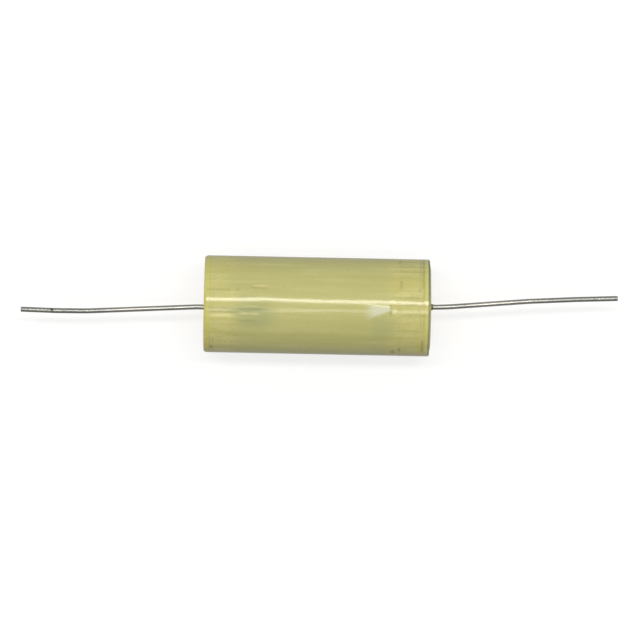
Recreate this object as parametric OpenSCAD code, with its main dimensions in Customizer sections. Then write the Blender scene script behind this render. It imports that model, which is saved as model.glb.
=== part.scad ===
// Axial film capacitor: a wound film element in a tape wrap, potted with resin at both
// ends, with a formed wire lead soldered to each sprayed end.
// The body lies along X with its middle at the origin. +Z is up, and the body rests on
// the level Z = -body_d / 2.

/* [Body] */
// Length of the wrapped body, from tape edge to tape edge
body_len = 44.2; // [30:0.1:60]
// Diameter over the wrap, beside the tape's lap
body_d = 19; // [14:0.5:26]

/* [Tape wrap] */
// Thickness of one turn of tape with its adhesive
tape_t = 0.065; // [0.04:0.005:0.1]
// Whole turns of tape on the body
tape_turns = 3; // [2:1:4]
// Where the tape's loose end lies, as an angle round the body from +Y towards +Z
lap_at = -38; // [-60:1:60]
// Radius to which the overhanging edge of the wrap draws in
lip_r = 1; // [0.7:0.05:1.2]
// How far the left edge has drawn in round that radius, in degrees
left_lip_turn = 42; // [20:1:50]
// How far the right edge has drawn in round that radius, in degrees
right_lip_turn = 30; // [20:1:50]

/* [Film element] */
// Outside diameter of the tube that the film is wound on
core_d = 4.5; // [3.5:0.1:6]
// Wall of that tube
core_wall = 0.8; // [0.5:0.05:1]
// Thickness of the metal sprayed on each end of the element
spray_t = 0.6; // [0.5:0.05:1]

/* [Resin ends] */
// Depth from the tape's edge down to the sprayed metal
pot_depth = 1.25; // [1.2:0.05:3]
// How far the left resin has sunk in the middle
left_dip = 0.16; // [0.05:0.01:0.2]
// How far the right resin stands up in the middle
right_crown = 0.34; // [0.05:0.01:0.5]
// Height to which resin creeps up the lead
creep_h = 0.5; // [0.3:0.05:0.6]

/* [Leads] */
// Diameter of the lead wire
lead_d = 1; // [0.8:0.05:1.2]
// Length of the left lead past the tape's edge, along the wire
left_lead_len = 36.1; // [30:0.1:60]
// Length of the right lead past the tape's edge, along the wire
right_lead_len = 37; // [32:0.1:60]
// Where the left lead leaves the resin, from the body's axis towards +Y
left_exit_y = -0.66; // [-1:0.01:1]
// Where the right lead leaves the resin, from the body's axis towards +Y
right_exit_y = 0.2; // [-1:0.01:1]
// Radius of the curl that lies on the sprayed metal
curl_r = 3; // [2.5:0.1:4]
// How much of a turn the curl makes, in degrees
curl_turn = 250; // [180:5:280]
// Depth to which the curl is pressed into the sprayed metal
curl_sink = 0.45; // [0.3:0.01:0.45]
// Radius to which the lead turns up out of the curl
root_bend_r = 0.75; // [0.7:0.01:0.8]
// Bevel that the cutter leaves round the lead's tip
tip_bevel = 0.1; // [0.05:0.01:0.2]

/* [Solder] */
// Width of the low dome of solder that holds the curl
solder_d = 8.4; // [7:0.1:9]
// Height of the solder over the sprayed metal
solder_h = 0.45; // [0.3:0.01:0.5]

/* [Hidden] */
$fn = 72;

LEFT = -1;
RIGHT = 1;

// Handling has bent the leads a little, level with the bench. Each row is a bend, towards
// +Y, in degrees, its radius, and the straight run after it. The last run is the tip, which
// takes up the rest of the length.
LEFT_FORM = [[-3.25, 12, 20.2], [2.7, 40, 4.5], [1.7, 40]];
RIGHT_FORM = [[2.9, 12, 1.7], [2.2, 25, 14.6], [-1.7, 25, 8.6], [-0.9, 25]];
// How far each lead stands straight out of the body before the first bend
straight_out = 1.2;
// Straight runs reach this far into the bends next to them, which are drawn this much
// thicker, so that each joint is one clean step.
bend_reach = 0.03;
bend_swell = 0.004;

// How far round the body the tape's loose end stays proud, in degrees
lap_fade = 60;
// Thickness of the resin where it ends on the lead, and its drop at the rim from the tape
creep_edge = 0.05;
rim_drop = 0.03;
// How far in from the rim the resin's face is curved, and the steps that draw the curve
face_curve = 2;
face_steps = 8;
// How deep the ring of crept resin is rooted in the fill, and how far its foot is sunk
creep_root = 0.3;
creep_sink = 0.02;

// Everything in the body is wound, sprayed, soldered or cast on to its neighbour, so the
// pieces share their faces with no clearance.
body_r = body_d / 2;
lead_r = lead_d / 2;
wrap_t = tape_t * tape_turns;
cavity_r = body_r - wrap_t;
half_len = body_len / 2;
spray_face = half_len - pot_depth;
film_half = spray_face - spray_t;

// The curl's middle line lies at curl_level over the sprayed metal, and the lead stands
// square to it from root_level on.
curl_level = lead_r - curl_sink;
root_level = curl_level + root_bend_r;
// Where the cut end of the curl lies, round the curl
curl_end_at = 270 - curl_turn;

function lip_turn(side) = side == LEFT ? left_lip_turn : right_lip_turn;
function exit_y(side) = side == LEFT ? left_exit_y : right_exit_y;

// The lip is an arc round a circle of centres at lip_middle, which starts at lip_start
// from the body's middle. Its inner edge is the rim, which holds the resin.
lip_middle = body_r - lip_r;
function lip_start(side) = half_len - lip_r * sin(lip_turn(side));
function rim_r(side) = lip_middle + (lip_r - wrap_t) * cos(lip_turn(side));
function rim_at(side) = half_len - wrap_t * sin(lip_turn(side));
function resin_top(side) = rim_at(side) + (side == LEFT ? -left_dip : right_crown);

function arc_length(angle, radius) = abs(angle) * radius * PI / 180;
// Length of wire in a form's bends and runs, without the tip
function form_length(form, i = 0) =
    i == len(form) ? 0
    : arc_length(form[i][0], form[i][1]) + (len(form[i]) > 2 ? form[i][2] : 0)
        + form_length(form, i + 1);
// Radius of a circle whose segment is that wide and that high
function segment_radius(width, height) = (pow(width / 2, 2) + pow(height, 2)) / (2 * height);

// ---- Frames -----------------------------------------------------------------------

// Stands its children on an end of the body: their +Z points out along the lead, and
// their +X is the body's +Y.
module on_end(side) {
    rotate([90 * side, 0, 90]) children();
}

// Stands its children on the sprayed metal, at the middle of the lead's curl.
module on_curl(side) {
    on_end(side) translate([exit_y(side) + root_bend_r, 0, spray_face]) children();
}

// ---- Tape wrap --------------------------------------------------------------------

// Section across the body: the whole turns, and over them the end of the last one, which
// stands a tape's thickness proud at its loose end and settles into the turn below.
module wrap_section() {
    reach = 2 * body_r;
    difference() {
        union() {
            circle(body_r);
            rotate(lap_at) intersection() {
                translate(tape_t * [1, -1 / tan(lap_fade)]) circle(body_r);
                polygon([[0, 0], [reach, 0], reach * [cos(lap_fade), sin(lap_fade)]]);
            }
        }
        circle(cavity_r);
    }
}

// Section along the edge that has drawn in round the resin, from its centre of turning.
module lip_section(turn) {
    reach = 2 * lip_r;
    intersection() {
        difference() {
            circle(lip_r);
            circle(lip_r - wrap_t);
        }
        polygon([[0, 0], [reach, 0], reach * [cos(turn), sin(turn)]]);
    }
}

module lip(side) {
    translate([0, 0, lip_start(side)])
        rotate_extrude() translate([lip_middle, 0]) lip_section(lip_turn(side));
}

module outer_wrap() {
    color("#bdb86c") {
        on_end(RIGHT) {
            linear_extrude(lip_start(RIGHT)) wrap_section();
            translate([0, 0, -lip_start(LEFT)]) linear_extrude(lip_start(LEFT)) wrap_section();
        }
        for (side = [LEFT, RIGHT]) on_end(side) lip(side);
    }
}

// ---- Wound and sprayed element ------------------------------------------------------

// A tube as long as the winding, drawn from the body's middle out to both ends, so that
// each end lies exactly where the sprayed metal starts.
module element_tube(outer_r, inner_r) {
    for (side = [LEFT, RIGHT]) on_end(side) difference() {
        cylinder(r = outer_r, h = film_half);
        cylinder(r = inner_r, h = film_half);
    }
}

module film_winding() {
    color("#c9cccb") element_tube(cavity_r, core_d / 2);
}

module winding_core() {
    color("#f1efe6") element_tube(core_d / 2, core_d / 2 - core_wall);
}

// The sprayed metal takes the print of the curl that is pressed into it.
module end_spray(side) {
    color("#9b9d9c") difference() {
        on_end(side) translate([0, 0, film_half]) cylinder(r = cavity_r, h = spray_t);
        lead_root(side);
    }
}

// ---- Leads --------------------------------------------------------------------------

// The wire's arc in the XY plane, between two angles round the origin
module wire_arc(radius, from, angle, wire_r = lead_r) {
    rotate_extrude(angle = angle, start = from) translate([radius, 0]) circle(wire_r);
}

// The curl on the sprayed metal, the half turn from it in to the middle, the bend there
// up on to the lead's own line, and the lead as far as it stands straight.
module lead_root(side) {
    on_curl(side) {
        translate([0, 0, curl_level]) wire_arc(curl_r, curl_end_at, curl_turn);
        translate([0, -curl_r / 2, curl_level]) wire_arc(curl_r / 2, -90, 180);
        translate([0, 0, root_level]) rotate([90, 0, 0]) wire_arc(root_bend_r, 180, 90);
        translate([-root_bend_r, 0, root_level])
            cylinder(r = lead_r, h = pot_depth - root_level + straight_out + bend_reach);
    }
}

// A bend that starts along +Z and turns towards +X, or towards -X if its angle is negative
module wire_bend(angle, radius) {
    turn = abs(angle);
    rotate(angle < 0 ? 180 : 0) translate([radius, 0, 0]) rotate([90, 0, 0])
        wire_arc(radius, 180 - turn, turn, lead_r + bend_swell);
}

// Moves its children to the end of such a bend.
module past_bend(angle, radius) {
    centre = sign(angle) * radius;
    translate([centre, 0, 0]) rotate([0, angle, 0]) translate([-centre, 0, 0]) children();
}

module tip(length) {
    translate([0, 0, -bend_reach]) cylinder(r = lead_r, h = length - tip_bevel + bend_reach);
    translate([0, 0, length - tip_bevel])
        cylinder(r1 = lead_r, r2 = lead_r - tip_bevel, h = tip_bevel);
}

module formed_wire(form, tip_length, i = 0) {
    angle = form[i][0];
    radius = form[i][1];
    length = form[i][2];
    wire_bend(angle, radius);
    past_bend(angle, radius) {
        if (i < len(form) - 1) {
            translate([0, 0, -bend_reach]) cylinder(r = lead_r, h = length + 2 * bend_reach);
            translate([0, 0, length]) formed_wire(form, tip_length, i + 1);
        } else {
            tip(tip_length);
        }
    }
}

module lead(side) {
    form = side == LEFT ? LEFT_FORM : RIGHT_FORM;
    length = side == LEFT ? left_lead_len : right_lead_len;
    color("#c4c6c8") {
        lead_root(side);
        on_curl(side) translate([-root_bend_r, 0, pot_depth + straight_out])
            formed_wire(form, length - straight_out - form_length(form));
    }
}

// ---- Solder -------------------------------------------------------------------------

// A low dome of solder, which has flowed out from under the curl
module solder_dome(side) {
    dome_r = segment_radius(solder_d, solder_h);
    on_curl(side) intersection() {
        translate([0, 0, solder_h - dome_r]) sphere(dome_r, $fn = 720);
        cylinder(d = solder_d + 2, h = solder_h + 1);
    }
}

module solder(side) {
    color("#b4b7b9") difference() {
        solder_dome(side);
        lead_root(side);
    }
}

// ---- Resin ends ---------------------------------------------------------------------

// Half section of the room inside the wrap, from the sprayed metal up past the rim.
module pot_section(side) {
    start = lip_start(side);
    rim = rim_at(side);
    translate([0, spray_face]) {
        square([cavity_r, start - spray_face]);
        square([rim_r(side), rim - spray_face + creep_h]);
    }
    intersection() {
        translate([lip_middle, start]) circle(lip_r - wrap_t);
        translate([lip_middle, spray_face]) square([lip_r, rim - spray_face]);
    }
}

// Half section of the space below the resin's face, which is level in the middle and
// curves down, or up, to the wrap over the last part of its radius.
module below_face(side) {
    edge = rim_at(side) - rim_drop;
    rise = resin_top(side) - edge;
    polygon([
        [0, spray_face - 1], [body_r, spray_face - 1], [body_r, edge],
        for (i = [face_steps:-1:0])
            [rim_r(side) - face_curve * (1 - i / face_steps), edge + rise * (1 - pow(i / face_steps, 2))],
        [0, resin_top(side)],
    ]);
}

module fill_section(side) {
    intersection() {
        pot_section(side);
        below_face(side);
    }
}

// A ring of resin that creeps up the lead and thins out to its edge.
module creep() {
    foot = lead_r + creep_edge + creep_h;
    rotate_extrude() difference() {
        translate([0, -creep_root]) square([foot, creep_root + creep_h]);
        translate([foot, creep_h]) circle(creep_h);
    }
}

module end_fill(side) {
    color("#c3a951") difference() {
        union() {
            on_end(side) rotate_extrude() fill_section(side);
            on_end(side) translate([exit_y(side), 0, resin_top(side) - creep_sink]) creep();
        }
        lead_root(side);
        solder_dome(side);
    }
}

outer_wrap();
film_winding();
winding_core();
end_spray(LEFT);  // end_spray_left
end_spray(RIGHT);  // end_spray_right
solder(LEFT);  // solder_left
solder(RIGHT);  // solder_right
lead(LEFT);  // lead_left
lead(RIGHT);  // lead_right
end_fill(LEFT);  // end_fill_left
end_fill(RIGHT);  // end_fill_right
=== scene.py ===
import math

import bmesh
import bpy
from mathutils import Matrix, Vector
from mathutils.noise import noise as mathutils_noise


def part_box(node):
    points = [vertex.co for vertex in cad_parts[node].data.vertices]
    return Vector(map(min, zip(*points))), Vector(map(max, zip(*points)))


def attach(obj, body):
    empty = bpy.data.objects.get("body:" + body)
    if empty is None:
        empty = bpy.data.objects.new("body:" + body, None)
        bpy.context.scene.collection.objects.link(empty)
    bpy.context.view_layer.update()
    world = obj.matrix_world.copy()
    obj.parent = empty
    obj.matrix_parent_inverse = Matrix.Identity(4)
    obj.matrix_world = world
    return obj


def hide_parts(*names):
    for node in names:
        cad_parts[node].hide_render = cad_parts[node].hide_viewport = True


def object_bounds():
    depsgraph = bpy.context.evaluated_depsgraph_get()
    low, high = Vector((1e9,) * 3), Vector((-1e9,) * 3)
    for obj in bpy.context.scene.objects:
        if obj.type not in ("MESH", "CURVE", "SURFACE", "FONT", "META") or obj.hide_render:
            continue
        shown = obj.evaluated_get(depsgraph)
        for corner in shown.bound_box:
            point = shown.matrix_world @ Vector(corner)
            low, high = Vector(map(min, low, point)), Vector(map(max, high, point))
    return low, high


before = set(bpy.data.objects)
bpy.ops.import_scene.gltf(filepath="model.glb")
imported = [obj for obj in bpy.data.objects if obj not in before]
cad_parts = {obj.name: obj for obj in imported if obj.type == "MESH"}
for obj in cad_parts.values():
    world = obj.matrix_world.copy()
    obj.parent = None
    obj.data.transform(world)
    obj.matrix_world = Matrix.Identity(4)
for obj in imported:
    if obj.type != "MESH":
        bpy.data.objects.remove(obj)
cad_low, cad_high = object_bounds()


# ---- Camera --------------------------------------------------------------------------
# It looks straight down on the capacitor as it lies on its side, from far enough off that
# both leads show whole. It is turned a little, as the body lies not quite square to it.

CAMERA_HEIGHT = 1.2
CAMERA_AT = (0.000635, -0.002759)
CAMERA_TURN = 1.13
WIDTH_SEEN = 0.1257

camera = bpy.data.objects.new("camera", bpy.data.cameras.new("camera"))
bpy.context.scene.collection.objects.link(camera)
camera.location = (*CAMERA_AT, CAMERA_HEIGHT)
camera.rotation_euler = (0, 0, math.radians(CAMERA_TURN))
camera.data.lens = camera.data.sensor_width * CAMERA_HEIGHT / WIDTH_SEEN
bpy.context.scene.camera = camera


# ---- Lamps ---------------------------------------------------------------------------
# Two long soft boxes hang over the bench along the body: a strong, wide one a little behind
# its axis and a weaker, narrow one in front. Two low ones light the ends and are kept out of
# the gloss.

LAMP_DISTANCE = 1.0
LAMP_COLOUR = (1, 0.96, 0.89)


def soft_box(name, lean, turn, size, power):
    """Hangs a lamp that is aimed at the body. It leans from straight up towards +Y, and turn
    takes the lean round towards +X, both in degrees."""
    lamp = bpy.data.objects.new(name, bpy.data.lights.new(name, "AREA"))
    bpy.context.scene.collection.objects.link(lamp)
    lamp.data.shape = "RECTANGLE"
    lamp.data.size, lamp.data.size_y = size
    lamp.data.energy = power
    lamp.data.color = LAMP_COLOUR
    lean, turn = math.radians(lean), math.radians(turn)
    level, height = LAMP_DISTANCE * math.sin(lean), LAMP_DISTANCE * math.cos(lean)
    lamp.location = (level * math.sin(turn), level * math.cos(turn), height)
    lamp.rotation_euler = (-lean, 0, -turn)
    return lamp


soft_box("soft_box_behind", lean=11.4, turn=0, size=(1, 0.112), power=5.1)
soft_box("soft_box_front", lean=-10.4, turn=0, size=(1, 0.07), power=1.15)
for name, turn in (("soft_box_left", -90), ("soft_box_right", 90)):
    low_box = soft_box(name, lean=70, turn=turn, size=(0.8, 0.5), power=2.6)
    low_box.visible_glossy = False

bpy.context.scene.view_settings.view_transform = "Standard"


# ---- Room ----------------------------------------------------------------------------
# A pale room fills in what the lamps leave. It is darker near its floor than overhead, and
# darker in front than behind.

ROOM_LOW = 0.26
ROOM_HIGH = 0.455
ROOM_TILT = 0.15
ROOM_COLOUR = (0.93, 0.98, 1, 1)


class Signal:
    """An output socket. An expression on signals adds Math nodes to their tree."""

    def __init__(self, nodes, socket):
        self.nodes = nodes
        self.socket = socket

    def maths(self, operation, *terms):
        """A Math node on the terms, or on this signal alone where none are given."""
        terms = terms or (self,)
        return self.nodes.node("ShaderNodeMath", {"operation": operation}, dict(enumerate(terms)))

    def __add__(self, other):
        return self.maths("ADD", self, other)

    def __radd__(self, other):
        return self.maths("ADD", other, self)

    def __sub__(self, other):
        return self.maths("SUBTRACT", self, other)

    def __rsub__(self, other):
        return self.maths("SUBTRACT", other, self)

    def __mul__(self, other):
        return self.maths("MULTIPLY", self, other)

    def __rmul__(self, other):
        return self.maths("MULTIPLY", other, self)

    def __truediv__(self, other):
        return self.maths("DIVIDE", self, other)

    def __pow__(self, other):
        return self.maths("POWER", self, other)

    def __lt__(self, other):
        return self.maths("LESS_THAN", self, other)

    def __gt__(self, other):
        return self.maths("GREATER_THAN", self, other)

    def __abs__(self):
        return self.maths("ABSOLUTE")

    def smaller(self, other):
        return self.maths("MINIMUM", self, other)

    def larger(self, other):
        return self.maths("MAXIMUM", self, other)

    def out(self, name):
        """Another output of the same node."""
        return Signal(self.nodes, Nodes.pick(self.socket.node.outputs, name))


class Nodes:
    """Builds one node tree. Each node is given by its type, settings and socket values."""

    def __init__(self, tree):
        self.tree = tree
        self.tree.nodes.clear()

    @staticmethod
    def pick(sockets, key):
        if isinstance(key, int):
            return sockets[key]
        return next(s for s in sockets if s.name == key and s.enabled)

    def node(self, kind, settings=None, values=None, output=None):
        made = self.tree.nodes.new(kind)
        for name, value in (settings or {}).items():
            setattr(made, name, value)
        for key, value in (values or {}).items():
            socket = self.pick(made.inputs, key)
            if isinstance(value, Signal):
                self.tree.links.new(value.socket, socket)
            else:
                socket.default_value = value
        outputs = [s for s in made.outputs if s.enabled]
        if output is None:
            return Signal(self, outputs[0]) if outputs else None
        return Signal(self, self.pick(made.outputs, output))


world = bpy.data.worlds.new("room")
bpy.context.scene.world = world
world.use_nodes = True
room = Nodes(world.node_tree)
direction = room.node("ShaderNodeTexCoord", output="Generated")
aside = room.node("ShaderNodeSeparateXYZ", values={0: direction}, output="Y")
upwards = aside.out("Z").larger(0)
room.node("ShaderNodeOutputWorld", values={
    "Surface": room.node("ShaderNodeBackground", values={
        "Color": ROOM_COLOUR,
        "Strength": ROOM_LOW + upwards * (ROOM_HIGH - ROOM_LOW) + aside * ROOM_TILT,
    }),
})


# ---- Floor ---------------------------------------------------------------------------
# The bench is a plain white board that the body rests on. It looks white to the eye and
# weaker in the part's gloss, and it still holds the soft shadow of the part.

FLOOR_SIZE = 6
FLOOR_PAINT = 0.3
FLOOR_GLOW = 0.73
# How much of the glow the part's gloss shows
GLOSS_SHARE = 0.28

half = FLOOR_SIZE / 2
corners = ((-half, -half), (half, -half), (half, half), (-half, half))
floor_mesh = bpy.data.meshes.new("floor")
floor_mesh.from_pydata([(x, y, cad_low.z) for x, y in corners], [], [(0, 1, 2, 3)])
floor = bpy.data.objects.new("floor", floor_mesh)
bpy.context.scene.collection.objects.link(floor)

paint = bpy.data.materials.new("floor_paint")
paint.use_nodes = True
nodes = Nodes(paint.node_tree)
rays = nodes.node("ShaderNodeLightPath", output="Is Camera Ray")
in_gloss = rays.out("Is Glossy Ray") * GLOSS_SHARE
seen = rays.larger(in_gloss).larger(rays.out("Is Transmission Ray"))
nodes.node("ShaderNodeOutputMaterial", values={
    "Surface": nodes.node("ShaderNodeAddShader", values={
        0: nodes.node("ShaderNodeBsdfDiffuse", values={
            "Color": (FLOOR_PAINT, FLOOR_PAINT, FLOOR_PAINT, 1),
        }),
        1: nodes.node("ShaderNodeEmission", values={
            "Color": (1, 1, 1, 1),
            "Strength": seen * FLOOR_GLOW,
        }),
    }),
})
floor_mesh.materials.append(paint)


# ---- Winding core --------------------------------------------------------------------
# The thin moulded tube that the film is wound on. It is natural white plastic, with the
# faint rings that its mould has left.

MM = 0.001
MOULD_PITCH = 1.5 * MM


def srgb(red, green, blue):
    """A colour given in 0 to 255 display steps, as the four linear numbers of a socket."""
    def linear(step):
        share = step / 255
        return share / 12.92 if share <= 0.04045 else ((share + 0.055) / 1.055) ** 2.4
    return (linear(red), linear(green), linear(blue), 1)


def finish(name):
    """A new material's nodes, and the object's own X, Y and Z as signals."""
    material = bpy.data.materials.new(name)
    material.use_nodes = True
    nodes = Nodes(material.node_tree)
    place = nodes.node("ShaderNodeTexCoord", output="Object")
    x = nodes.node("ShaderNodeSeparateXYZ", values={0: place}, output="X")
    return material, nodes, (x, x.out("Y"), x.out("Z"))


def noise(nodes, x, y, z, scale, stretch=(1, 1, 1), detail=2, seed=0):
    """Noise from 0 to 1, on a grain of that scale to the metre, drawn out along each axis."""
    vector = nodes.node("ShaderNodeCombineXYZ", values={
        0: x / stretch[0], 1: y / stretch[1], 2: z / stretch[2],
    })
    return nodes.node("ShaderNodeTexNoise", {"noise_dimensions": "4D"}, {
        "Vector": vector, "W": seed, "Scale": scale, "Detail": detail,
    })


def ramp(nodes, value, low, high, start=0, end=1):
    """Eases from start to end as the value goes from low to high."""
    return nodes.node("ShaderNodeMapRange", {"interpolation_type": "SMOOTHSTEP"}, {
        "Value": value, "From Min": low, "From Max": high, "To Min": start, "To Max": end,
    })


def mix(nodes, share, first, second):
    return nodes.node("ShaderNodeMix", {"data_type": "RGBA"}, {
        "Factor": share, "A": first, "B": second,
    })


def ridge(nodes, value, at, width):
    """1 at a place, easing to 0 at half the width to either side of it."""
    return ramp(nodes, abs(value - at), 0, width / 2, 1, 0)


def window(nodes, value, first, last, soft):
    """1 between two places, with soft ends."""
    return ramp(nodes, value, first - soft, first) * ramp(nodes, value, last, last + soft, 1, 0)


def dress(node, material):
    """Gives a CAD node its material."""
    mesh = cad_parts[node].data
    mesh.materials.clear()
    mesh.materials.append(material)


CORE_WHITE = srgb(238, 234, 224)
CORE_CREAM = srgb(226, 221, 208)

core_plastic, nodes, (x, y, z) = finish("core_plastic")
cloud = noise(nodes, x, y, z, 700)
mould_rings = (x * (2 * math.pi / MOULD_PITCH)).maths("SINE")
nodes.node("ShaderNodeOutputMaterial", values={
    "Surface": nodes.node("ShaderNodeBsdfPrincipled", values={
        "Base Color": mix(nodes, cloud, CORE_WHITE, CORE_CREAM),
        "Roughness": 0.4 + cloud * 0.2,
        "Normal": nodes.node("ShaderNodeBump", values={
            "Distance": 1.0, "Height": mould_rings * 0.002 * MM + cloud * 0.005 * MM,
        }),
    }),
})
dress("winding_core", core_plastic)


# ---- Film winding --------------------------------------------------------------------
# Two strips of metallised plastic film, wound into a tight roll. It is silvery, with the
# edges of its turns as fine rings at the ends and faint lengthwise wrinkles on its face.

FILM_GREY = srgb(190, 194, 194)
FILM_SILVER = srgb(224, 226, 224)
TURN_PITCH = 0.12 * MM

film, nodes, (x, y, z) = finish("metallised_film")
off_axis = (y * y + z * z) ** 0.5
turns = (off_axis * (2 * math.pi / TURN_PITCH)).maths("SINE")
wrinkle = noise(nodes, x, y, z, 1800, (20, 1, 1), 3, 11)
nodes.node("ShaderNodeOutputMaterial", values={
    "Surface": nodes.node("ShaderNodeBsdfPrincipled", values={
        "Base Color": mix(nodes, wrinkle, FILM_GREY, FILM_SILVER),
        "Metallic": 0.85,
        "Roughness": 0.2 + wrinkle * 0.2,
        "Normal": nodes.node("ShaderNodeBump", values={
            "Distance": 1.0, "Height": turns * 0.004 * MM + wrinkle * 0.02 * MM,
        }),
    }),
})
dress("film_winding", film)


# ---- Sprayed ends --------------------------------------------------------------------
# Molten zinc, sprayed on each end of the roll so that it joins the edges of the film. It is
# matt grey and as coarse as fine sandpaper, and the curl of the lead is pressed into it.

ZINC_DARK = srgb(122, 124, 124)
ZINC_PALE = srgb(178, 180, 180)

sprayed, nodes, (x, y, z) = finish("sprayed_metal")
grit = noise(nodes, x, y, z, 7000, (1, 1, 1), 4, 21)
patch = noise(nodes, x, y, z, 600, (1, 1, 1), 2, 22)
nodes.node("ShaderNodeOutputMaterial", values={
    "Surface": nodes.node("ShaderNodeBsdfPrincipled", values={
        "Base Color": mix(nodes, ramp(nodes, grit, 0.3, 0.7), ZINC_DARK, ZINC_PALE),
        "Metallic": 0.7,
        "Roughness": 0.55 + patch * 0.25,
        "Normal": nodes.node("ShaderNodeBump", values={
            "Distance": 1.0, "Height": grit * 0.06 * MM + patch * 0.05 * MM,
        }),
    }),
})
for side in ("left", "right"):
    dress("end_spray_" + side, sprayed)


# ---- Leads ---------------------------------------------------------------------------
# Tinned wire, one length at each end. Inside the resin it makes a curl that is pressed into
# the sprayed metal and soldered, turns up out of it and runs out along the body's axis.
# Handling has bent it a little and the cutter has left its tip square.

HALF_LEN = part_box("outer_wrap")[1].x
SPRAY_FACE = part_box("end_spray_right")[1].x
LEAD_R = 0.0005
CURL_R = 0.003
# Where the curl starts, in degrees round from +Y, and how far it goes
CURL_START, CURL_SWEEP = 20, 250
CURL_SINK = 0.00045
ROOT_BEND_R = 0.00075
TIP_BEVEL = 0.0001
STRAIGHT_OUT = 0.0012
# A lead leaves the resin at exit_y and reaches its length past the body. Each row is a bend
# towards +Y, in degrees, its radius, and the straight run after it. The last run is the tip,
# which takes up the rest of the length.
LEAD_FORMS = {
    -1: {
        "exit_y": -0.00066, "length": 0.0361,
        "bends": [(-3.25, 0.012, 0.0202), (2.7, 0.040, 0.0045), (1.7, 0.040, None)],
    },
    1: {
        "exit_y": 0.0002, "length": 0.037,
        "bends": [
            (2.9, 0.012, 0.0017), (2.2, 0.025, 0.0146), (-1.7, 0.025, 0.0086),
            (-0.9, 0.025, None),
        ],
    },
}
# Marks that pliers have left in the wire. Each row is how far one is from the tip, how long it
# is and how deep.
LEAD_MARKS = {
    -1: [(0.0028, 0.0009, 0.00003), (0.0061, 0.0007, 0.00012), (0.0118, 0.0006, 0.00003)],
    1: [(0.0046, 0.0007, 0.00003), (0.0129, 0.0008, 0.00004), (0.0301, 0.0007, 0.00004)],
}
# The way that the pliers bit, across the wire
BITE_SIDE = (0.0, 0.5, 0.866)
WIRE_STEP = 0.00025
WIRE_SIDES = 32
# An edge that turns by more than this is sharp.
SHARP_TURN = math.radians(35)
TIN_BRIGHT = srgb(188, 185, 178)
TIN_DULL = srgb(152, 154, 152)
TIN_AT_TIP = srgb(144, 145, 141)
TIN_GRAIN = srgb(128, 128, 124)
# Painted shade in the dents that the pliers left
TIN_BITE_SHADE = srgb(84, 82, 74)
# Handling has dulled the wire from the first of these places out to the second.
DULL_FROM, DULL_TO = 34 * MM, 48 * MM


def polyline(name, points, closed, attributes):
    """A mesh of edges along the points, with a number for each point under each attribute."""
    mesh = bpy.data.meshes.new(name)
    count = len(points)
    edges = [(i, i + 1) for i in range(count - 1)] + ([(count - 1, 0)] if closed else [])
    mesh.from_pydata(points, edges, [])
    for attribute, numbers in attributes.items():
        mesh.attributes.new(attribute, "FLOAT", "POINT").data.foreach_set("value", numbers)
    return mesh


def geometry_tree(name, sizes):
    """A geometry tree with one named input for each size, and its inputs as signals."""
    tree = bpy.data.node_groups.new(name, "GeometryNodeTree")
    nodes = Nodes(tree)
    tree.interface.new_socket("Geometry", in_out="INPUT", socket_type="NodeSocketGeometry")
    tree.interface.new_socket("Geometry", in_out="OUTPUT", socket_type="NodeSocketGeometry")
    for size, kind in sizes.items():
        tree.interface.new_socket(size, in_out="INPUT", socket_type="NodeSocket" + kind)
    given = tree.nodes.new("NodeGroupInput")
    return nodes, {s.name: Signal(nodes, s) for s in given.outputs if s.name}


def keep(nodes, geometry, name, value, domain="POINT", kind="FLOAT"):
    """Stores a value on the geometry under a name."""
    return nodes.node(
        "GeometryNodeStoreNamedAttribute", {"data_type": kind, "domain": domain},
        {"Geometry": geometry, "Name": name, "Value": value},
    )


def kept(nodes, name, kind="FLOAT"):
    return nodes.node("GeometryNodeInputNamedAttribute", {"data_type": kind}, {"Name": name})


def finish_tree(nodes, mesh, material):
    """Shades the mesh smooth between its sharp edges, gives it its material and ends the tree."""
    smooth = nodes.node("GeometryNodeSetShadeSmooth", values={"Geometry": mesh})
    bend = nodes.node("GeometryNodeInputMeshEdgeAngle", output="Unsigned Angle")
    sharp = keep(nodes, smooth, "sharp_edge", bend > SHARP_TURN, "EDGE", "BOOLEAN")
    real = nodes.node("GeometryNodeRealizeInstances", values={"Geometry": sharp})
    done = nodes.node("GeometryNodeSetMaterial", values={"Geometry": real, "Material": material})
    nodes.node("NodeGroupOutput", values={"Geometry": done})


def shape(name, source, nodes, sizes):
    """Runs a geometry tree on a source mesh and keeps the result as a plain mesh."""
    piece = bpy.data.objects.new(name, source)
    bpy.context.scene.collection.objects.link(piece)
    modifier = piece.modifiers.new("shape", "NODES")
    modifier.node_group = nodes.tree
    for item in nodes.tree.interface.items_tree:
        if item.in_out == "INPUT" and item.name in sizes:
            modifier[item.identifier] = sizes[item.name]
    evaluated = piece.evaluated_get(bpy.context.evaluated_depsgraph_get())
    made = bpy.data.meshes.new_from_object(evaluated)
    piece.modifiers.remove(modifier)
    piece.data = made
    made.name = name
    return piece


def arc_points(middle, first, second, radius, start, sweep):
    """Points round an arc, between two angles in degrees, in the plane of two directions."""
    count = max(4, round(abs(math.radians(sweep)) * radius / WIRE_STEP))
    for i in range(count + 1):
        angle = math.radians(start + sweep * i / count)
        yield middle + first * (radius * math.cos(angle)) + second * (radius * math.sin(angle))


def run_to(first, last):
    count = max(1, round((last - first).length / WIRE_STEP))
    return [first.lerp(last, (i + 1) / count) for i in range(count)]


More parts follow.
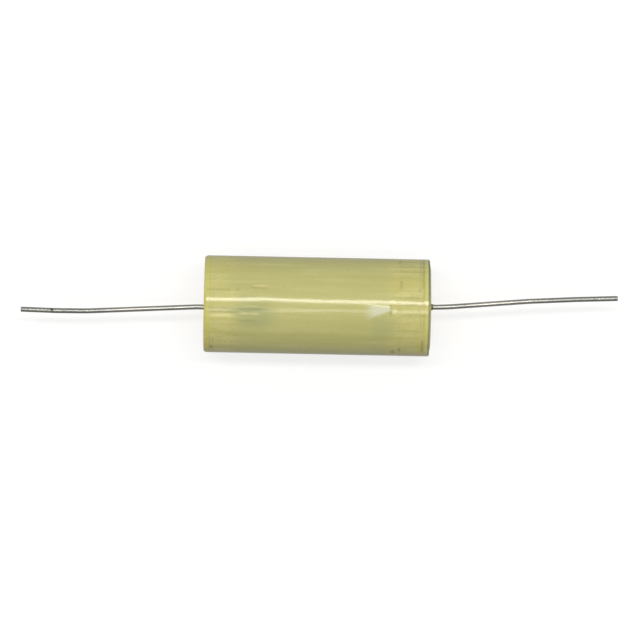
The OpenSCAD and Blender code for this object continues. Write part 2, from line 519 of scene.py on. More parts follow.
def wire_path(side):
    """The line of a lead's middle, from the cut end of its curl out to its tip."""
    form = LEAD_FORMS[side]
    out, level, up = Vector((side, 0, 0)), Vector((0, 1, 0)), Vector((0, 0, side))
    curl_level = SPRAY_FACE + LEAD_R - CURL_SINK
    middle = out * curl_level + level * (form["exit_y"] + ROOT_BEND_R)
    points = list(arc_points(middle, level, up, CURL_R, CURL_START, CURL_SWEEP))
    half_turn = middle - up * (CURL_R / 2)
    points += list(arc_points(half_turn, level, up, CURL_R / 2, -90, 180))[1:]
    bend = middle + out * ROOT_BEND_R
    points += list(arc_points(bend, level, out, ROOT_BEND_R, -90, -90))[1:]
    here = out * (HALF_LEN + STRAIGHT_OUT) + level * form["exit_y"]
    heading = 0
    left = form["length"] - STRAIGHT_OUT
    points += run_to(points[-1], here)
    for turn, radius, straight in form["bends"]:
        towards = math.copysign(1, turn)
        ahead = out * math.cos(heading) + level * math.sin(heading)
        aside = (level * math.cos(heading) - out * math.sin(heading)) * towards
        middle = here + aside * radius
        points += list(arc_points(middle, -aside, ahead, radius, 0, abs(turn)))[1:]
        heading += math.radians(turn)
        left -= abs(math.radians(turn)) * radius
        ahead = out * math.cos(heading) + level * math.sin(heading)
        here = points[-1] + ahead * (left - TIP_BEVEL if straight is None else straight)
        left -= straight or 0
        points += run_to(points[-1], here)
    points.append(points[-1] + ahead * TIP_BEVEL)
    return points


def wire_source(side):
    """The lead's line as a mesh of edges, with each point's distance from the tip and the depth
    of the plier mark there."""
    points = wire_path(side)
    from_tip = [0]
    for i in range(len(points) - 1, 0, -1):
        from_tip.insert(0, from_tip[0] + (points[i] - points[i - 1]).length)
    bites = []
    for distance in from_tip:
        depth = 0
        for at, length, deep in LEAD_MARKS[side]:
            share = abs(distance - at) * 2 / length
            depth = max(depth, deep * (1 - share ** 2)) if share < 1 else depth
        bites.append(depth)
    return polyline("lead_line", points, False, {"from_tip": from_tip, "bite": bites})


def surface(nodes, name):
    """A number that the piece's mesh carries under that name."""
    return nodes.node("ShaderNodeAttribute", {"attribute_name": name}, output="Fac")


tinned, nodes, (x, y, z) = finish("tinned_wire")
draw = noise(nodes, x, y, z, 5000, (40, 1, 1), 2, 5)
cloud = noise(nodes, x, y, z, 600, (3, 1, 1), 2, 6)
dull = ramp(nodes, cloud, 0.38, 0.66)
towards_tip = ramp(nodes, abs(x), DULL_FROM, DULL_TO)
colour = mix(nodes, dull * 0.5, TIN_BRIGHT, TIN_DULL)
colour = mix(nodes, towards_tip * 0.6, colour, TIN_AT_TIP)
colour = mix(nodes, ramp(nodes, draw, 0.55, 0.75) * 0.12, colour, TIN_GRAIN)
# Where the pliers bit, the colour is darkened with painted shade in the dent.
bitten = ramp(nodes, surface(nodes, "bite"), 0, 0.1 * MM, 0, 0.75)
colour = mix(nodes, bitten, colour, TIN_BITE_SHADE)
nodes.node("ShaderNodeOutputMaterial", values={
    "Surface": nodes.node("ShaderNodeBsdfPrincipled", values={
        "Base Color": colour,
        "Metallic": 1.0,
        "Roughness": 0.28 + dull * 0.05 + towards_tip * 0.1,
        "Normal": nodes.node("ShaderNodeBump", values={
            "Distance": 1.0, "Height": draw * 0.0006 * MM + cloud * 0.003 * MM,
        }),
    }),
})

wire, size = geometry_tree("drawn_wire", {
    "Wire radius": "Float", "Sides": "Int", "Tip bevel": "Float", "Bite side": "Vector",
})
line = wire.node("GeometryNodeMeshToCurve", values={"Mesh": size["Geometry"]})
line = keep(wire, line, "middle", wire.node("GeometryNodeInputPosition"), kind="FLOAT_VECTOR")
worn = (size["Tip bevel"] - kept(wire, "from_tip")).larger(0)
line = wire.node("GeometryNodeSetCurveRadius", values={
    "Curve": line, "Radius": 1 - worn / size["Wire radius"],
})
ring_curve = wire.node("GeometryNodeCurvePrimitiveCircle", values={
    "Resolution": size["Sides"], "Radius": size["Wire radius"],
})
tube = wire.node("GeometryNodeCurveToMesh", values={
    "Curve": line, "Profile Curve": ring_curve, "Fill Caps": True,
    "Scale": wire.node("GeometryNodeInputRadius"),
})
place = wire.node("GeometryNodeInputPosition")
spoke = wire.node("ShaderNodeVectorMath", {"operation": "SUBTRACT"}, {
    0: place, 1: kept(wire, "middle", "FLOAT_VECTOR"),
})
facing = wire.node("ShaderNodeVectorMath", {"operation": "DOT_PRODUCT"}, {
    0: wire.node("ShaderNodeVectorMath", {"operation": "NORMALIZE"}, {0: spoke}),
    1: size["Bite side"],
}, output="Value")
bitten = abs(facing) ** 3 * kept(wire, "bite") / size["Wire radius"]
pressed = wire.node("GeometryNodeSetPosition", values={
    "Geometry": tube,
    "Offset": wire.node("ShaderNodeVectorMath", {"operation": "SCALE"}, {
        0: spoke, "Scale": bitten * -1,
    }),
})
finish_tree(wire, pressed, tinned)

for side, name in ((-1, "left"), (1, "right")):
    lead = shape("wire_" + name, wire_source(side), wire, {
        "Wire radius": LEAD_R,
        "Sides": WIRE_SIDES,
        "Tip bevel": TIP_BEVEL,
        "Bite side": BITE_SIDE,
    })
    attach(lead, "root")
    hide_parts("lead_" + name)


# ---- Solder --------------------------------------------------------------------------
# A low dome of bright solder on each end, which holds the curl. It froze with a fine
# frosting and a few flow marks in its skin.

SOLDER_GREY = srgb(168, 170, 172)
SOLDER_BRIGHT = srgb(206, 207, 208)

solder, nodes, (x, y, z) = finish("solder")
frost = noise(nodes, x, y, z, 3500, (1, 1, 1), 3, 31)
flow = noise(nodes, x, y, z, 500, (1, 1, 1), 2, 32)
nodes.node("ShaderNodeOutputMaterial", values={
    "Surface": nodes.node("ShaderNodeBsdfPrincipled", values={
        "Base Color": mix(nodes, flow, SOLDER_GREY, SOLDER_BRIGHT),
        "Metallic": 1.0,
        "Roughness": 0.15 + ramp(nodes, frost, 0.45, 0.65) * 0.25,
        "Normal": nodes.node("ShaderNodeBump", values={
            "Distance": 1.0, "Height": flow * 0.05 * MM + frost * 0.006 * MM,
        }),
    }),
})
for side in ("left", "right"):
    dress("solder_" + side, solder)


# ---- Tape wrap -----------------------------------------------------------------------
# Yellow polyester tape, a little wider than the element is long, wound on in three turns.
# Its edges have drawn in round the resin at both ends, and its last turn ends in a lap.

BODY_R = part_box("outer_wrap")[1].z
CAVITY_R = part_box("film_winding")[1].z
FILM_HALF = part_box("film_winding")[1].x
TAPE_TURNS = 3
TAPE_T = (BODY_R - CAVITY_R) / TAPE_TURNS
TAPE_IOR = 1.45
# The drawn-in edge rolls over on this radius, by this many degrees at each end.
LIP_R = 0.001
LIP_TURN = {-1: 42, 1: 30}
# The lap's place in degrees from +Y towards +Z, and how far round from there the last turn
# takes to settle
LAP_AT = -38
LAP_FADE = 60
# How wide the painted shade line at the tape's cut end is to either side, as an angle round the
# body
LAP_SHADE_LINE = 0.02
# The tape's marks lie past this place to either side, where its rings of points are closer.
END_ROWS_TO = 9.5 * MM
END_ROWS, MIDDLE_ROWS, LIP_ROWS = 90, 36, 8
BORE_ROWS, BORE_LIP_ROWS = 8, 4
WRAP_COLUMNS = 360
# The right end isn't cut quite square. Its +Y side is this much short, and the tape and the
# resin slant to it over this last length.
END_SLANT = 0.12 * MM
SLANT_LENGTH = 4 * MM


def lip_point(side, angle, depth):
    """A place in the wrap's section, round a lip's arc and that deep under its surface."""
    angle = math.radians(angle)
    start = HALF_LEN - LIP_R * math.sin(math.radians(LIP_TURN[side]))
    reach = LIP_R - depth
    return (side * (start + reach * math.sin(angle)), BODY_R - LIP_R + reach * math.cos(angle), 0)


def steps(first, last, count):
    return [first + (last - first) * i / count for i in range(count)]


def wrap_section():
    """The closed outline of the wrap's half section: its face from left to right, the edges of
    its three turns, its bore and the left edges. It comes with how loose each point is."""
    rows = [(lip_point(-1, a, 0), 0) for a in steps(LIP_TURN[-1], 0, LIP_ROWS)]
    left, right = lip_point(-1, 0, 0), lip_point(1, 0, 0)
    across = steps(left[0], -END_ROWS_TO, END_ROWS)
    across += steps(-END_ROWS_TO, END_ROWS_TO, MIDDLE_ROWS)
    across += steps(END_ROWS_TO, right[0], END_ROWS)
    rows += [((x, BODY_R, 0), 0) for x in across]
    rows += [(lip_point(1, a, 0), 0) for a in steps(0, LIP_TURN[1], LIP_ROWS)]
    edge = []
    for turn in range(TAPE_TURNS):
        for share in (0.08, 0.92):
            edge.append((turn + share, turn + 1))
        if turn < TAPE_TURNS - 1:
            edge.append((turn + 1, -1))
    rows += [(lip_point(1, LIP_TURN[1], d * TAPE_T), loose) for d, loose in edge]
    bore = BODY_R - CAVITY_R
    rows += [(lip_point(1, a, bore), 0) for a in steps(LIP_TURN[1], 0, BORE_LIP_ROWS)]
    rows += [((x, CAVITY_R, 0), 0) for x in steps(right[0], left[0], BORE_ROWS)]
    rows += [(lip_point(-1, a, bore), 0) for a in steps(0, LIP_TURN[-1], BORE_LIP_ROWS)]
    rows += [(lip_point(-1, LIP_TURN[-1], d * TAPE_T), loose) for d, loose in reversed(edge)]
    return rows


# Marks in the tape. Each row is where one starts and ends along the body, in millimetres,
# where it starts and ends round it, in degrees from +Y towards +Z, and its strength. Pale ones
# are painted highlights, partly slips of air where the tape has let go of the film, and warm
# ones are painted reflections. Dark ones are dark spots and shallow creases, darkened with
# painted shade, some of which dims the highlights. Gold ones are resin that has crept under
# the tape, and in green ones the film shows through.
PALE_GLINT_MARKS = [
    (-20.9, -16.3, 101.4, 104.8, 0.75), (-20.6, -17.3, 96.2, 97.8, 0.4),
    (-13.8, -11.3, 91.4, 92.6, 0.25), (-15.2, -11.2, 99.6, 102.2, 0.5),
    (14.6, 15.7, 92.6, 97.2, 0.55), (16.7, 18.6, 92.7, 96.6, 0.3), (18.8, 19.6, 92.2, 95.4, 0.3),
    (20.2, 21.6, 91.8, 95.4, 0.4), (15.6, 18.4, 75.4, 77.0, 0.25), (16.2, 20.1, 72.2, 74.0, 0.2),
    (-20.4, -10.0, 60.5, 63.5, 0.15), (-20.8, -13.0, 83.2, 84.6, 0.15),
]
WARM_GLINT_MARKS = [
    (-12.4, -9.9, 65.8, 68.2, 0.5), (-20.8, -17.0, 95.8, 97.0, 0.35),
    (16.0, 21.4, 88.8, 90.0, 0.3),
]
DARK_AND_SHADE_MARKS = [
    (-21.8, -16.8, 72.0, 73.8, 0.35), (-15.8, -15.0, 71.2, 73.4, 0.35),
    (-12.6, -9.9, 68.8, 70.6, 0.4), (-15.2, -10.8, 94.0, 97.6, 0.5),
    (-15.2, -12.0, 108.8, 110.6, 0.4), (-20.95, -20.3, 149.5, 154.0, 0.9),
    (15.4, 20.9, 18.5, 23.5, 0.35), (15.4, 20.9, 32.0, 35.4, 0.32),
    (15.7, 20.4, 42.0, 44.8, 0.26), (16.2, 16.7, 57.0, 66.5, 0.38), (19.8, 20.3, 67.0, 72.0, 0.4),
    (15.6, 20.4, 77.8, 80.0, 0.3), (14.6, 15.4, 152.0, 162.0, 0.8),
    (15.9, 16.5, 147.0, 155.0, 0.7), (14.15, 14.6, 87.0, 99.0, 0.6),
    (20.45, 20.85, 134.5, 158.0, 0.7), (15.4, 20.8, 27.0, 28.4, 0.25),
    (16.4, 19.8, 51.0, 52.4, 0.25), (-20.4, -12.4, 97.8, 100.0, 0.5),
    (15.6, 21.8, 86.9, 88.6, 0.45), (17.0, 22.0, 82.2, 83.8, 0.25),
    (16.8, 21.6, 97.2, 102.0, 0.25), (-13.8, -9.2, 87.6, 92.4, 0.2),
    (-15.4, -11.6, 79.6, 81.8, 0.35), (-21.4, -16.8, 93.6, 96.2, 0.5),
    (-16.6, -9.2, 94.0, 96.4, 0.35), (-19.0, -12.4, 78.0, 79.2, 0.15),
    (16.6, 20.4, 118.0, 119.6, 0.2), (-18.6, -11.4, 128.0, 129.4, 0.18),
    (20.55, 21.05, 8.0, 78.0, 0.4), (19.95, 20.35, 14.0, 60.0, 0.2),
    (15.9, 16.4, 12.0, 24.0, 0.28), (20.6, 20.95, 215.0, 260.0, 0.4),
    (-20.9, -20.5, 285.0, 320.0, 0.4), (-19.0, -15.0, 240.0, 242.0, 0.3),
]
GOLD_MARKS = [
    (19.9, 20.35, 134.5, 158.0, 0.8), (-21.3, -20.9, 10.0, 75.0, 0.3),
    (-21.6, -21.0, 108.0, 165.0, 0.3),
]
GREEN_PATCHES = [
    (10.4, 15.4, 100.0, 128.0, 0.3), (-15.6, -9.0, 90.0, 116.0, 0.5),
    (-18.0, -8.0, 58.0, 74.0, 0.15),
]

# The film's own end, which runs along the winding under the tape as a low ridge. Its place,
# width and wander round the body are in degrees, and it dies away between two places along it.
TAIL_AT = 99.5
TAIL_WIDTH = 8
TAIL_WANDER = 3
TAIL_FADE = (-18 * MM, 12 * MM)

# Two flat swells in the layers under the tape near the left end. Each row is the middle of
# one along the body and round it in degrees, its length, its width in degrees and its height.
SWELLS = [(-18.5 * MM, 97, 11 * MM, 38, 0.02 * MM), (-10.0 * MM, 76.5, 10 * MM, 32, 0.035 * MM)]

# The pucker near the right end, a leaf of small folds that runs out to the left from its tip.
# Its place round the body, its lean and its half width at the tip are in degrees, and so is
# what its half width gains by its far end.
PUCKER_TIP = 14.45 * MM
PUCKER_LENGTH = 5.2 * MM
PUCKER_WAY = 92.2
PUCKER_LEAN = 5
PUCKER_HALF = 2.6
PUCKER_SPREAD = 8
PUCKER_FOLDS = 3.4

# The dark rings in the tape: how wide each is over the sprayed metal's edge and the film's,
# and where the third lies
SPRAY_RING = 0.55 * MM
FILM_RING = 0.5 * MM
THIRD_RING_AT = 16.2 * MM
# A warmer band near the right edge
BLUSH = (21.3 * MM, 21.7 * MM)
# The greenish painted shade on the right edge starts this far in from it, and is full this far
# in.
EDGE_SHADE_STARTS, EDGE_SHADE_FULL = 0.42 * MM, 0.3 * MM
# The tape is greyer between these two places, where it lies tight on the film.
GREY_SPAN = (-14.5 * MM, 12.5 * MM)
GREY_SOFT = 3.4 * MM


def marks(nodes, x, way, rows, soft):
    """The strength of the marks at a place, from 0 to 1. Soft is the share of each half of a
    mark over which it fades, to either side of its edge."""
    def within(value, middle, half, strength):
        off = abs(value - middle)
        return ramp(nodes, off, half * (1 - soft), half * (1 + soft), strength, 0)

    total = 0
    for first, last, start, end, strength in rows:
        along = within(x, (first + last) / 2 * MM, (last - first) / 2 * MM, 1)
        total = along * within(way, (start + end) / 2, (end - start) / 2, strength) + total
    return total.smaller(1)


def rings_at(nodes, x, shake, swell):
    """The dark rings where the tape crosses the ends of the film and the sprayed metal."""
    spray = ridge(nodes, abs(x), SPRAY_FACE, SPRAY_RING)
    spray = spray * ramp(nodes, shake + swell, 0.85, 1.2, 0, 0.35)
    film = ridge(nodes, abs(x), FILM_HALF, FILM_RING) * ramp(nodes, swell, 0.4, 0.65, 0, 0.25)
    third = ridge(nodes, x, THIRD_RING_AT, FILM_RING) * ramp(nodes, shake, 0.4, 0.65, 0, 0.25)
    return spray.larger(film).larger(third)


def pucker(nodes, x, way):
    """How much a place belongs to the pucker, and its folds there, both from 0 to 1."""
    out = (PUCKER_TIP - x) / PUCKER_LENGTH
    half = PUCKER_HALF + out * PUCKER_SPREAD
    off = (way - PUCKER_WAY - out * PUCKER_LEAN) / half
    # Its sides are soft, its tip is sudden and its far end dies away.
    inside = ramp(nodes, abs(off), 0.55, 1.1, 1, 0) * ramp(nodes, out, -0.03, 0.05)
    inside = inside * ramp(nodes, out, 0.5, 1.1, 1, 0)
    wave = (off - out * 1.6) * (PUCKER_FOLDS * math.pi)
    return inside, wave.maths("SINE") * 0.5 + 0.5


TAPE_YELLOW = srgb(195, 188, 116)
TAPE_PALE = srgb(208, 202, 138)
TAPE_OLIVE = srgb(184, 178, 106)
TAPE_GREY = srgb(180, 180, 122)
RESIN_GOLD = srgb(198, 194, 100)
# Dark lines in the tape, also the colour of its painted shade
LINE_DARK_AND_SHADE = srgb(138, 142, 90)
# The colour of the painted highlights
GLINT_PALE = srgb(232, 225, 166)
AIR_WHITE = srgb(216, 217, 194)
# The warm tone of the band near the right edge, and of the painted reflections
WARM_TONE_AND_GLINT = srgb(226, 204, 138)
GOLD = srgb(208, 192, 84)
GREEN = srgb(158, 166, 120)
# The greenish colour of the painted shade on the right edge
EDGE_SHADE = srgb(106, 130, 100)

tape, nodes, (x, y, z) = finish("tape_polyester")
# Streaks drawn out along the tape, their fine grain, its broad clouds and its mottle
streak = noise(nodes, x, y, z, 800, (14, 1, 1), 4, 1)
fine = noise(nodes, x, y, z, 3200, (4, 1, 1), 3, 2)
broad = noise(nodes, x, y, z, 420, (3, 1, 1), 2, 3)
mottle = noise(nodes, x, y, z, 2400, (1.5, 1, 1), 2, 4)
colour = mix(nodes, ramp(nodes, streak, 0.3, 0.7), TAPE_YELLOW, TAPE_PALE)
colour = mix(nodes, ramp(nodes, fine, 0.45, 0.8) * 0.4, colour, TAPE_OLIVE)
colour = mix(nodes, ramp(nodes, mottle, 0.45, 0.75) * 0.45, colour, TAPE_OLIVE)
colour = mix(nodes, ramp(nodes, broad, 0.4, 0.7) * 0.3, colour, TAPE_OLIVE)
wavy_x = x + (broad - 0.5) * (4 * MM) + (mottle - 0.5) * (1.5 * MM)
colour = mix(nodes, window(nodes, wavy_x, *GREY_SPAN, GREY_SOFT) * 0.45, colour, TAPE_GREY)
over_resin = ramp(nodes, abs(x), SPRAY_FACE - 0.1 * MM, SPRAY_FACE + 0.1 * MM)
colour = mix(nodes, over_resin * (0.1 + mottle * 0.5), colour, RESIN_GOLD)
# The wrap's tree has worked out the rest, point by point, and left it on the mesh.
colour = mix(nodes, surface(nodes, "blush") * 0.3, colour, WARM_TONE_AND_GLINT)
# Painted shade along the right edge, stronger towards +Y
edge_shading = 0.4 + mottle * 0.65 + ramp(nodes, y, 0, 4 * MM, 0, 0.3)
colour = mix(nodes, surface(nodes, "edge_shade") * edge_shading.smaller(1), colour, EDGE_SHADE)
worn = ramp(nodes, fine + mottle, 0.75, 1.2, 0.65, 1.1)
rings = surface(nodes, "rings") * worn
dark_and_shade = surface(nodes, "dark_and_shade") * worn
pale_glint = surface(nodes, "pale_glint") * worn
air = surface(nodes, "air")
green = surface(nodes, "green")
colour = mix(nodes, green, colour, GREEN)
colour = mix(nodes, rings, colour, LINE_DARK_AND_SHADE)
colour = mix(nodes, surface(nodes, "over") * 0.35, colour, TAPE_OLIVE)
# A line of painted shade along the step at the tape's cut end
colour = mix(nodes, surface(nodes, "lap") * (0.6 + fine * 0.5), colour, LINE_DARK_AND_SHADE)
# Dark spots and shallow creases, darkened with painted shade, some of which dims the highlights
colour = mix(nodes, dark_and_shade, colour, LINE_DARK_AND_SHADE)
colour = mix(nodes, surface(nodes, "gold"), colour, GOLD)
# Warm marks are painted reflections beside the highlights.
colour = mix(nodes, surface(nodes, "warm_glint") * worn, colour, WARM_TONE_AND_GLINT)
# Painted highlights, partly slips of air where the tape has let go of the film
colour = mix(nodes, pale_glint, colour, GLINT_PALE)
colour = mix(nodes, air, colour, AIR_WHITE)
height = (
    (streak - 0.5) * (0.012 * MM) + (fine - 0.5) * (0.005 * MM) + (mottle - 0.5) * (0.006 * MM)
    - (rings + dark_and_shade) * (0.008 * MM) + pale_glint * (0.005 * MM)
)
nodes.node("ShaderNodeOutputMaterial", values={
    "Surface": nodes.node("ShaderNodeBsdfPrincipled", values={
        "Base Color": colour,
        "Roughness": 0.138 + (mottle - 0.5) * 0.08 + air * 0.12 + green * 0.25,
        "IOR": TAPE_IOR,
        "Normal": nodes.node("ShaderNodeBump", values={"Distance": 1.0, "Height": height}),
    }),
})

wrap, size = geometry_tree("wound_wrap", {
    "Body radius": "Float", "Tape thickness": "Float", "Lap angle": "Float",
    "Lap fade": "Float", "Columns": "Int", "Edge wander": "Float", "Unevenness": "Float",
    "Pucker height": "Float", "Crease depth": "Float", "Tail height": "Float",
    "End slant": "Float", "Seed": "Float",
})
place = wrap.node("GeometryNodeInputPosition")
outline = keep(wrap, size["Geometry"], "section", place, kind="FLOAT_VECTOR")
outline = wrap.node("GeometryNodeMeshToCurve", values={"Mesh": outline})
circle = wrap.node("GeometryNodeCurvePrimitiveCircle", values={"Resolution": size["Columns"]})
circle = keep(wrap, circle, "column", wrap.node("GeometryNodeInputIndex"))
swept = wrap.node("GeometryNodeCurveToMesh", values={"Curve": circle, "Profile Curve": outline})
section = wrap.node("ShaderNodeSeparateXYZ", values={0: kept(wrap, "section", "FLOAT_VECTOR")})
across, radius = section, section.out("Y")
round_share = kept(wrap, "column") / (size["Columns"] - 1)
past_lap = round_share * (2 * math.pi)
angle = past_lap + size["Lap angle"]
cosine, sine = angle.maths("COSINE"), angle.maths("SINE")
# At the lap the last turn stands a thickness proud, and from there it settles back flush.
proud = past_lap.maths("COSINE") - past_lap.maths("SINE") / size["Lap fade"].maths("TANGENT")
proud = proud.larger(0) * (past_lap < size["Lap fade"]) * size["Tape thickness"]
on_face = radius > size["Body radius"] - size["Tape thickness"] * 0.5
level, up = cosine * BODY_R, sine * BODY_R
grain = noise(wrap, across, level, up, 1400, (12, 1, 1), 2, size["Seed"])
swell = noise(wrap, across, level, up, 180, (2, 1, 1), 1, size["Seed"] + 3)
shake = noise(wrap, across, level, up, 2600, (2, 1, 1), 2, size["Seed"] + 7)
uneven = (grain - 0.5) * 0.35 + (swell - 0.5)
way = angle * (180 / math.pi)
way = way - (way > 180) * 360
mark_x = across + (shake - 0.5) * (0.5 * MM)
mark_way = way + (grain - 0.5) * 2.5
air, folds = pucker(wrap, mark_x, mark_way)
dark_and_shade = marks(wrap, mark_x, mark_way, DARK_AND_SHADE_MARKS, 0.5)
rings = rings_at(wrap, across, shake, swell)
patch_x, patch_way = across + (swell - 0.5) * (4 * MM), way + (swell - 0.5) * 20
before_lap = 2 * math.pi - past_lap
look = {
    "dark_and_shade": dark_and_shade,
    "rings": rings,
    "air": air * (0.5 + folds * 0.4),
    "pale_glint": marks(wrap, mark_x, mark_way, PALE_GLINT_MARKS, 0.5),
    "warm_glint": marks(wrap, mark_x, mark_way, WARM_GLINT_MARKS, 0.5),
    "blush": window(wrap, mark_x, *BLUSH, 0.2 * MM),
    "gold": marks(wrap, mark_x, mark_way, GOLD_MARKS, 0.5),
    "green": marks(wrap, patch_x, patch_way, GREEN_PATCHES, 0.6),
    "over": ramp(wrap, past_lap, 0, size["Lap fade"], 1, 0),
    "lap": ramp(wrap, past_lap, 0, LAP_SHADE_LINE, 1, 0) + ramp(wrap, before_lap, 0, LAP_SHADE_LINE, 1, 0),
}
lifted = air * (0.35 + folds * 0.65) * size["Pucker height"]
sunk = dark_and_shade.larger(rings) * size["Crease depth"]
tail = ridge(wrap, way, TAIL_AT + (swell - 0.5) * TAIL_WANDER, TAIL_WIDTH)
tail = tail * ramp(wrap, across, *TAIL_FADE, 1, 0) * size["Tail height"]
swollen = 0
for middle_x, middle_way, long, wide, high in SWELLS:
    bump = ridge(wrap, across, middle_x, long) * ridge(wrap, way, middle_way, wide)
    swollen = bump * high + swollen
radius = radius + on_face * (proud + uneven * size["Unevenness"] + lifted + tail + swollen - sunk)
# Each turn's edge wanders along the body by itself, and the seams between them are sunk.
loose = kept(wrap, "loose")
wander = noise(wrap, loose * 0.1, level, up, 500, (1, 1, 1), 2, size["Seed"])
outwards = across.maths("SIGN")
reach = (loose > 0) * (wander - 0.6) * 2 * size["Edge wander"] - (loose < 0) * size["Edge wander"]
for name, value in look.items():
    swept = keep(wrap, swept, name, value * on_face)
# Where the right edge gets its painted shade
edge_shade_x = across + (shake - 0.5) * (0.2 * MM)
edge_shade = ramp(wrap, edge_shade_x, HALF_LEN - EDGE_SHADE_STARTS, HALF_LEN - EDGE_SHADE_FULL)
swept = keep(wrap, swept, "edge_shade", edge_shade * (abs(loose) < 0.5))
slant = ramp(wrap, across, HALF_LEN - SLANT_LENGTH, HALF_LEN) * cosine.larger(0)
slant = slant * size["End slant"]
placed = wrap.node("GeometryNodeSetPosition", values={
    "Geometry": swept,
    "Position": wrap.node("ShaderNodeCombineXYZ", values={
        0: across + outwards * reach - slant, 1: radius * cosine, 2: radius * sine,
    }),
})
welded = wrap.node("GeometryNodeMergeByDistance", values={"Geometry": placed, "Distance": 1e-7})
finish_tree(wrap, welded, tape)

rows = wrap_section()
source = polyline("wrap_section", [p for p, _ in rows], True, {"loose": [k for _, k in rows]})
tape_wrap = shape("tape_wrap", source, wrap, {
    "Body radius": BODY_R,
    "Tape thickness": TAPE_T,
    "Lap angle": math.radians(LAP_AT),
    "Lap fade": math.radians(LAP_FADE),
    "Columns": WRAP_COLUMNS,
    "Edge wander": 0.03 * MM,
    "Unevenness": 0.02 * MM,
    "Pucker height": 0.05 * MM,
    "Crease depth": 0.008 * MM,
    "Tail height": 0.03 * MM,
    "End slant": END_SLANT,
    "Seed": 4.0,
})
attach(tape_wrap, "root")
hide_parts("outer_wrap")


# ---- Resin ends ----------------------------------------------------------------------
# Amber casting resin, poured into each end up to the tape's edge. The left one has sunk a
# little and the right one stands proud, and both creep up the lead and the tape.

RESIN_IOR = 1.55
# The fillet that creeps up the lead
CREEP_H = 0.0005
CREEP_EDGE = 0.00005
RIM_DROP = 0.00003
# How far in from the rim the face curves
FACE_CURVE = 0.002
# Height of the face's middle over the rim, at each end
FACE_RISE = {-1: -0.16 * MM, 1: 0.34 * MM}
# The slow swirls that set in the face
SWIRL_SCALE = 260
SWIRL_H = 0.025 * MM
RESIN_COLUMNS = 240
FILLET_RINGS, FACE_RINGS, LIP_RINGS = 14, 44, 6

# Bubbles that burst as the resin set. Each row is how far one lies from the body's axis, the
# way it lies from +Y towards +Z in degrees, its width and its depth.
BURST_BUBBLES = {
    -1: [
        (0.0061, 40, 0.0007, 0.00010), (0.0044, 205, 0.0005, 0.00008),
        (0.0072, 286, 0.0004, 0.00006),
    ],
    1: [
        (0.0052, 128, 0.0006, 0.00010), (0.0068, 318, 0.0005, 0.00008),
        (0.0036, 250, 0.0004, 0.00005),
    ],
}
# The raised lip round a burst bubble: its width as a share of the bubble's half width, and
# its height as a share of the bubble's depth
BUBBLE_LIP_WIDTH, BUBBLE_LIP_H = 0.4, 0.12

RESIN_AMBER = srgb(205, 178, 88)
RESIN_LIGHT = srgb(220, 198, 112)
RESIN_THIN = srgb(176, 172, 104)
# The colour of the painted shade round the leads
RESIN_SHADE = srgb(66, 76, 46)
BUBBLE_PALE = srgb(240, 228, 176)
# The resin looks thin from the first of these distances in from the body's face to the second.
THIN_FROM, THIN_TO = 2.2 * MM, 0.3 * MM
# How far out from the lead its painted shade reaches
LEAD_SHADE_REACH = 0.9 * MM


def rim_radius(side):
    return BODY_R - LIP_R + (LIP_R - TAPE_T * TAPE_TURNS) * math.cos(math.radians(LIP_TURN[side]))


def rim_level(side):
    return HALF_LEN - TAPE_T * TAPE_TURNS * math.sin(math.radians(LIP_TURN[side])) - RIM_DROP


def resin_face(side, level, up):
    """Height of the resin over its rim, at a place across the body."""
    rim = rim_radius(side)
    from_axis = math.hypot(level, up)
    share = max(0, 1 - (rim - from_axis) / FACE_CURVE)
    height = FACE_RISE[side] * (1 - share ** 2)
    from_lead = math.hypot(level - LEAD_FORMS[side]["exit_y"], up)
    foot = LEAD_R + CREEP_EDGE + CREEP_H
    if from_lead < foot:
        reach = min(foot - from_lead, CREEP_H)
        height += CREEP_H - math.sqrt(CREEP_H ** 2 - reach ** 2)
    still = min(1, (rim - from_axis) / MM, max(0, from_lead - foot) / MM)
    swirl = mathutils_noise(Vector((level, up, side * 0.01)) * SWIRL_SCALE)
    height += still * swirl * SWIRL_H
    for far, way, width, depth in BURST_BUBBLES[side]:
        way = math.radians(way)
        off = math.hypot(level - far * math.cos(way), up - far * math.sin(way)) * 2 / width
        if off < 1:
            height -= depth * (1 - off ** 2)
        elif off < 1 + BUBBLE_LIP_WIDTH:
            height += BUBBLE_LIP_H * depth * math.sin((off - 1) / BUBBLE_LIP_WIDTH * math.pi)
    return height


def slanted(side, across, level):
    """A distance along the body from its middle, less the slant of the right end there."""
    if side < 0:
        return across
    share = min(1, max(0, (across - HALF_LEN + SLANT_LENGTH) / SLANT_LENGTH))
    return across - END_SLANT * max(0, level) / rim_radius(side) * share ** 2 * (3 - 2 * share)


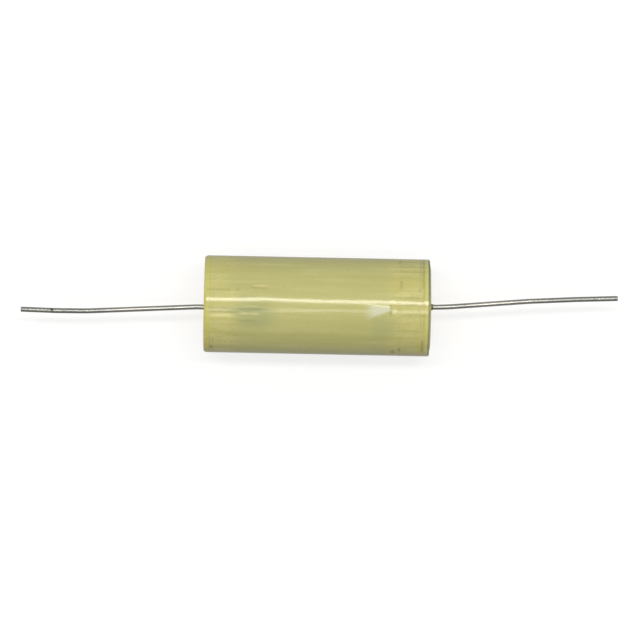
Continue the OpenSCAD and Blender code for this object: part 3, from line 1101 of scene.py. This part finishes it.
def resin_mesh(side, name):
    """Rings of points from the lead out to the rim, then down the wrap's inside to the sprayed
    metal and back under to the lead."""
    exit_y = LEAD_FORMS[side]["exit_y"]
    rim = rim_radius(side)
    foot = LEAD_R + CREEP_EDGE + CREEP_H
    points, faces = [], []

    def ring(make):
        for column in range(RESIN_COLUMNS):
            angle = 2 * math.pi * column / RESIN_COLUMNS
            points.append(make(math.cos(angle), math.sin(angle)))

    def on_face(reach, share):
        def make(cosine, sine):
            edge = -exit_y * cosine + math.sqrt(rim ** 2 - (exit_y * sine) ** 2)
            off = reach + (edge - reach) * share
            level, up = exit_y + off * cosine, off * sine
            across = slanted(side, rim_level(side), level) + resin_face(side, level, up)
            return (side * across, level, up)
        return make

    def on_wall(radius, across):
        def make(cosine, sine):
            edge = -exit_y * cosine + math.sqrt(radius ** 2 - (exit_y * sine) ** 2)
            level = exit_y + edge * cosine
            return (side * slanted(side, across, level), level, edge * sine)
        return make

    ring(on_face(LEAD_R, 0))
    for i in range(FILLET_RINGS):
        rise = 1 - math.cos(i * math.pi / (2 * FILLET_RINGS))
        ring(on_face(LEAD_R + CREEP_EDGE + CREEP_H * rise, 0))
    for i in range(FACE_RINGS):
        share = i / (FACE_RINGS - 1)
        ring(on_face(foot, 1 - (1 - share) ** 1.5))
    start = HALF_LEN - LIP_R * math.sin(math.radians(LIP_TURN[side]))
    inner = LIP_R - TAPE_T * TAPE_TURNS
    for i in range(1, LIP_RINGS + 1):
        angle = math.radians(LIP_TURN[side] * (1 - i / LIP_RINGS))
        ring(on_wall(BODY_R - LIP_R + inner * math.cos(angle), start + inner * math.sin(angle)))
    ring(on_wall(CAVITY_R, SPRAY_FACE))
    ring(lambda cosine, sine: (side * SPRAY_FACE, exit_y + LEAD_R * cosine, LEAD_R * sine))
    rings = len(points) // RESIN_COLUMNS
    for here in range(rings):
        beyond = (here + 1) % rings
        for column in range(RESIN_COLUMNS):
            after = (column + 1) % RESIN_COLUMNS
            corners = (here, column), (beyond, column), (beyond, after), (here, after)
            faces.append([r * RESIN_COLUMNS + c for r, c in corners])
    mesh = bpy.data.meshes.new(name)
    mesh.from_pydata(points, [], faces)
    shell = bmesh.new()
    shell.from_mesh(mesh)
    bmesh.ops.recalc_face_normals(shell, faces=shell.faces)
    for edge in shell.edges:
        edge.smooth = edge.calc_face_angle() < SHARP_TURN
    for face in shell.faces:
        face.smooth = True
    shell.to_mesh(mesh)
    shell.free()
    return mesh


cast, nodes, (x, y, z) = finish("casting_resin")
cloud = noise(nodes, x, y, z, 260, (1, 1, 1), 3, 41)
ripple = noise(nodes, x, y, z, 1300, (1, 1, 1), 2, 42)
off_axis = (y * y + z * z) ** 0.5
thin = ramp(nodes, off_axis, BODY_R - THIN_FROM, BODY_R - THIN_TO)
cell = nodes.node("ShaderNodeTexVoronoi", values={
    "Vector": nodes.node("ShaderNodeCombineXYZ", values={0: x, 1: y, 2: z}), "Scale": 750,
})
bubble = ramp(nodes, cell, 0.08, 0.14, 1, 0) * ramp(nodes, cloud + ripple, 1.0, 1.15)
colour = mix(nodes, ramp(nodes, cloud, 0.3, 0.7), RESIN_AMBER, RESIN_LIGHT)
colour = mix(nodes, thin * 0.7, colour, RESIN_THIN)
colour = mix(nodes, bubble * 0.7, colour, BUBBLE_PALE)
left_exit, right_exit = LEAD_FORMS[-1]["exit_y"], LEAD_FORMS[1]["exit_y"]
exit_y = (x > 0) * (right_exit - left_exit) + left_exit
from_lead = ((y - exit_y) * (y - exit_y) + z * z) ** 0.5
# Painted shade darkens the resin round each lead.
lead_shade = ramp(nodes, from_lead, LEAD_R, LEAD_R + LEAD_SHADE_REACH, 0.85, 0)
colour = mix(nodes, lead_shade, colour, RESIN_SHADE)
height = cloud * 0.06 * MM + ripple * 0.006 * MM + bubble * 0.01 * MM
nodes.node("ShaderNodeOutputMaterial", values={
    "Surface": nodes.node("ShaderNodeBsdfPrincipled", values={
        "Base Color": colour,
        "Roughness": 0.11 + ramp(nodes, ripple, 0.4, 0.7) * 0.1,
        "IOR": RESIN_IOR,
        "Normal": nodes.node("ShaderNodeBump", values={"Distance": 1.0, "Height": height}),
    }),
})
for side, name in ((-1, "left"), (1, "right")):
    plug = bpy.data.objects.new("resin_" + name, resin_mesh(side, "resin_" + name))
    bpy.context.scene.collection.objects.link(plug)
    plug.data.materials.append(cast)
    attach(plug, "root")
    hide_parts("end_fill_" + name)
